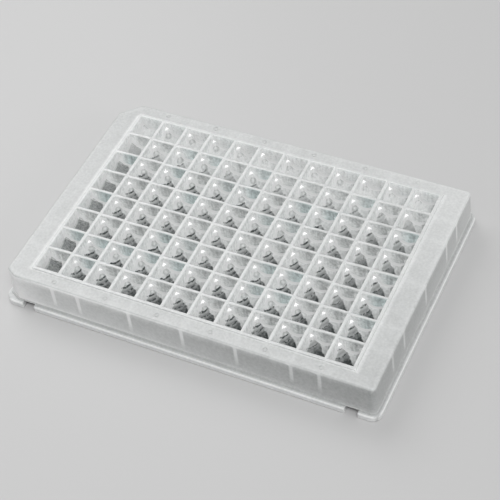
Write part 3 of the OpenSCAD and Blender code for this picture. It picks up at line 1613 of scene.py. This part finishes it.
@dataclass(frozen=True)
class MilkyPlastic:
    """Natural polypropylene: milky, with painted shade where thin plastic would show the dark hollows
    behind it.
    """

    look: WellLook
    colour: Colour = (0.945, 0.955, 0.95)
    shade: Colour = (0.91, 0.925, 0.92)
    # Painted shade: the dark of the hollows behind thin plastic, and its cool tint on the panes of the
    # wells' walls.
    painted_hollow_shade: Colour = (0.05, 0.06, 0.06)
    cool_shade: Colour = (0.85, 0.935, 0.935)
    clouds: Grain = (90.0, 3.0)
    flow: Grain = (260.0, 4.0)
    grain: Grain = (1400.0, 3.0)
    uneven: float = 0.12
    depth: str = "milk"
    polished: float = 0.16
    satin: float = 0.34
    grain_strength: float = 0.05
    grain_height: float = 0.00005
    bending: float = 1.49
    coat: float = 0.6
    coat_roughness: float = 0.2
    scatter: float = 0.002

    def make(self) -> bpy.types.Material:
        """Makes the material.

        Returns:
            The material, with clouded colour, painted shade and highlights, uneven gloss and a faint
            moulded grain.
        """
        made = bpy.data.materials.new("milky_plastic")
        made.use_nodes = True
        tree = made.node_tree
        nodes, links = tree.nodes, tree.links
        surface = nodes["Principled BSDF"]
        paint = Paint(tree)

        clouds, flow = paint.noise(*self.clouds), paint.noise(*self.flow)
        wells, seats, cool_shade = self.look.draw(paint)
        tint = paint.blend(paint.blend(self.shade, self.colour, clouds), self.cool_shade, cool_shade)
        milk = nodes.new("ShaderNodeAttribute")
        milk.attribute_name = self.depth
        # The colour runs from the painted shade of the hollows to the milky tint, with the wells' painted
        # marks added.
        depth = Value(tree, milk.outputs["Fac"]) + wells + flow * self.uneven - self.uneven / 2
        links.new(paint.blend(self.painted_hollow_shade, tint, depth), surface.inputs["Base Color"])

        gloss = flow * self.uneven + (self.satin - self.uneven / 2) - seats * (self.satin - self.polished)
        links.new(gloss.socket, surface.inputs["Roughness"])

        bump = nodes.new("ShaderNodeBump")
        bump.inputs["Strength"].default_value = self.grain_strength
        bump.inputs["Distance"].default_value = self.grain_height
        links.new(paint.noise(*self.grain).socket, bump.inputs["Height"])
        links.new(bump.outputs["Normal"], surface.inputs["Normal"])

        surface.inputs["IOR"].default_value = self.bending
        surface.inputs["Coat Weight"].default_value = self.coat
        surface.inputs["Coat Roughness"].default_value = self.coat_roughness
        surface.inputs["Subsurface Weight"].default_value = 1.0
        surface.inputs["Subsurface Radius"].default_value = (1.0, 1.0, 1.0)
        surface.inputs["Subsurface Scale"].default_value = self.scatter
        return made


@dataclass
class WellPlate:
    """The whole moulding."""

    block: WellBlock
    shell: Shell
    plastic: MilkyPlastic
    crease: float = 33.0
    weld: float = 2e-7

    def build(self) -> bpy.types.Object:
        """Joins the parts of the moulding, dresses it and puts it on the frame.

        Returns:
            The plate.
        """
        plate = self.shell.build()
        combine(plate, self.block.build(), Cut.ADD)
        combine(plate, Ribs(self.shell).build(), Cut.ADD)
        combine(plate, Notches(self.shell).build(), Cut.REMOVE)
        combine(plate, EjectorMarks(self.shell).build(), Cut.REMOVE)
        plate.name = plate.data.name = "moulded_plate"
        self.smooth(plate)
        MilkDepth(self.shell, self.plastic.depth).measure(plate)
        plate.data.materials.clear()
        plate.data.materials.append(self.plastic.make())
        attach(plate, BODY)
        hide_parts(NODE)
        log.info("moulded_plate: %d faces", len(plate.data.polygons))
        return plate

    def smooth(self, plate: bpy.types.Object) -> None:
        """Shades the rounded edges smooth and keeps the true creases sharp.

        Args:
            plate: The plate.
        """
        work = bmesh.new()
        work.from_mesh(plate.data)
        bmesh.ops.remove_doubles(work, verts=work.verts, dist=self.weld)
        bmesh.ops.triangulate(work, faces=work.faces)
        for face in work.faces:
            face.smooth = True
        for edge in work.edges:
            edge.smooth = edge.calc_face_angle(0.0) < math.radians(self.crease)
        work.to_mesh(plate.data)
        work.free()


@dataclass(frozen=True)
class Lamp:
    """A square lamp that points at the plate, in metres and watts."""

    name: str
    place: Point
    size: float
    power: float

    def hang(self) -> None:
        """Hangs the lamp."""
        lamp = bpy.data.lights.new(self.name, "AREA")
        lamp.size = self.size
        lamp.energy = self.power
        hung = bpy.data.objects.new(self.name, lamp)
        hung.location = self.place
        hung.rotation_euler = Vector(self.place).to_track_quat("Z", "Y").to_euler()
        bpy.context.scene.collection.objects.link(hung)


@dataclass
class Studio:
    """The floor and the room in metres, the lamps, and the camera in millimetres."""

    floor_colour: Colour = (0.55, 0.55, 0.55)
    floor_reach: float = 6.0
    floor_roughness: float = 0.45
    room_colour: Colour = (1.0, 1.0, 1.0)
    room_level: float = 0.42
    lamps: tuple[Lamp, ...] = (
        Lamp("key", (0.43, -0.57, 1.34), 0.65, 10.6),
        Lamp("fill", (-0.3, 0.2, 0.4), 0.4, 0.95),
        Lamp("side", (0.9, -0.1, 0.5), 0.4, 0.95),
    )
    eye: Point = (158.67, -255.66, 348.97)
    target: Point = (6.83, -6.08, 14.35)
    roll: float = -8.21
    lens: float = 103.4
    sensor: float = 36.0
    nearest: float = 10.0

    def add_floor(self) -> None:
        """Lays the floor."""
        mesh = bpy.data.meshes.new("floor")
        r = self.floor_reach
        mesh.from_pydata([(-r, -r, 0), (r, -r, 0), (r, r, 0), (-r, r, 0)], [], [(0, 1, 2, 3)])
        floor = bpy.data.objects.new("floor", mesh)
        bpy.context.scene.collection.objects.link(floor)
        made = bpy.data.materials.new("floor")
        made.use_nodes = True
        surface = made.node_tree.nodes["Principled BSDF"]
        surface.inputs["Base Color"].default_value = (*self.floor_colour, 1)
        surface.inputs["Roughness"].default_value = self.floor_roughness
        mesh.materials.append(made)

    def add_room(self) -> None:
        """Fills the room with even light."""
        world = bpy.data.worlds.new("room")
        world.use_nodes = True
        back = world.node_tree.nodes["Background"]
        back.inputs["Color"].default_value = (*self.room_colour, 1)
        back.inputs["Strength"].default_value = self.room_level
        bpy.context.scene.world = world

    def add_camera(self) -> None:
        """Sets up the camera."""
        lens = bpy.data.cameras.new("camera")
        lens.sensor_width = self.sensor
        lens.lens = self.lens
        lens.clip_start = self.nearest * MM
        camera = bpy.data.objects.new("camera", lens)
        eye, target = Vector(self.eye) * MM, Vector(self.target) * MM
        aim = (target - eye).to_track_quat("-Z", "Y")
        camera.matrix_world = (
            Matrix.Translation(eye) @ aim.to_matrix().to_4x4()
            @ Matrix.Rotation(math.radians(self.roll), 4, "Z")
        )
        bpy.context.scene.collection.objects.link(camera)
        bpy.context.scene.camera = camera

    def build(self) -> None:
        """Sets up the whole studio."""
        self.add_camera()
        self.add_floor()
        self.add_room()
        for lamp in self.lamps:
            lamp.hang()
        bpy.context.scene.view_settings.view_transform = "Standard"
        log.info("studio: floor, camera and %d lamps", len(self.lamps))


def main() -> None:
    """Builds the plate and the studio, and reports each piece."""
    logging.basicConfig(level=logging.INFO, format="%(name)s: %(message)s")
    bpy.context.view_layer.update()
    low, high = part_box(NODE)
    block = WellBlock(rim_height=high.z / MM)
    shell = Shell(block, length=(high.x - low.x) / MM, width=(high.y - low.y) / MM)
    WellPlate(block, shell, MilkyPlastic(WellLook(WellSkin(block)))).build()
    Studio().build()
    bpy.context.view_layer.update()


if __name__ == "__main__":
    main()
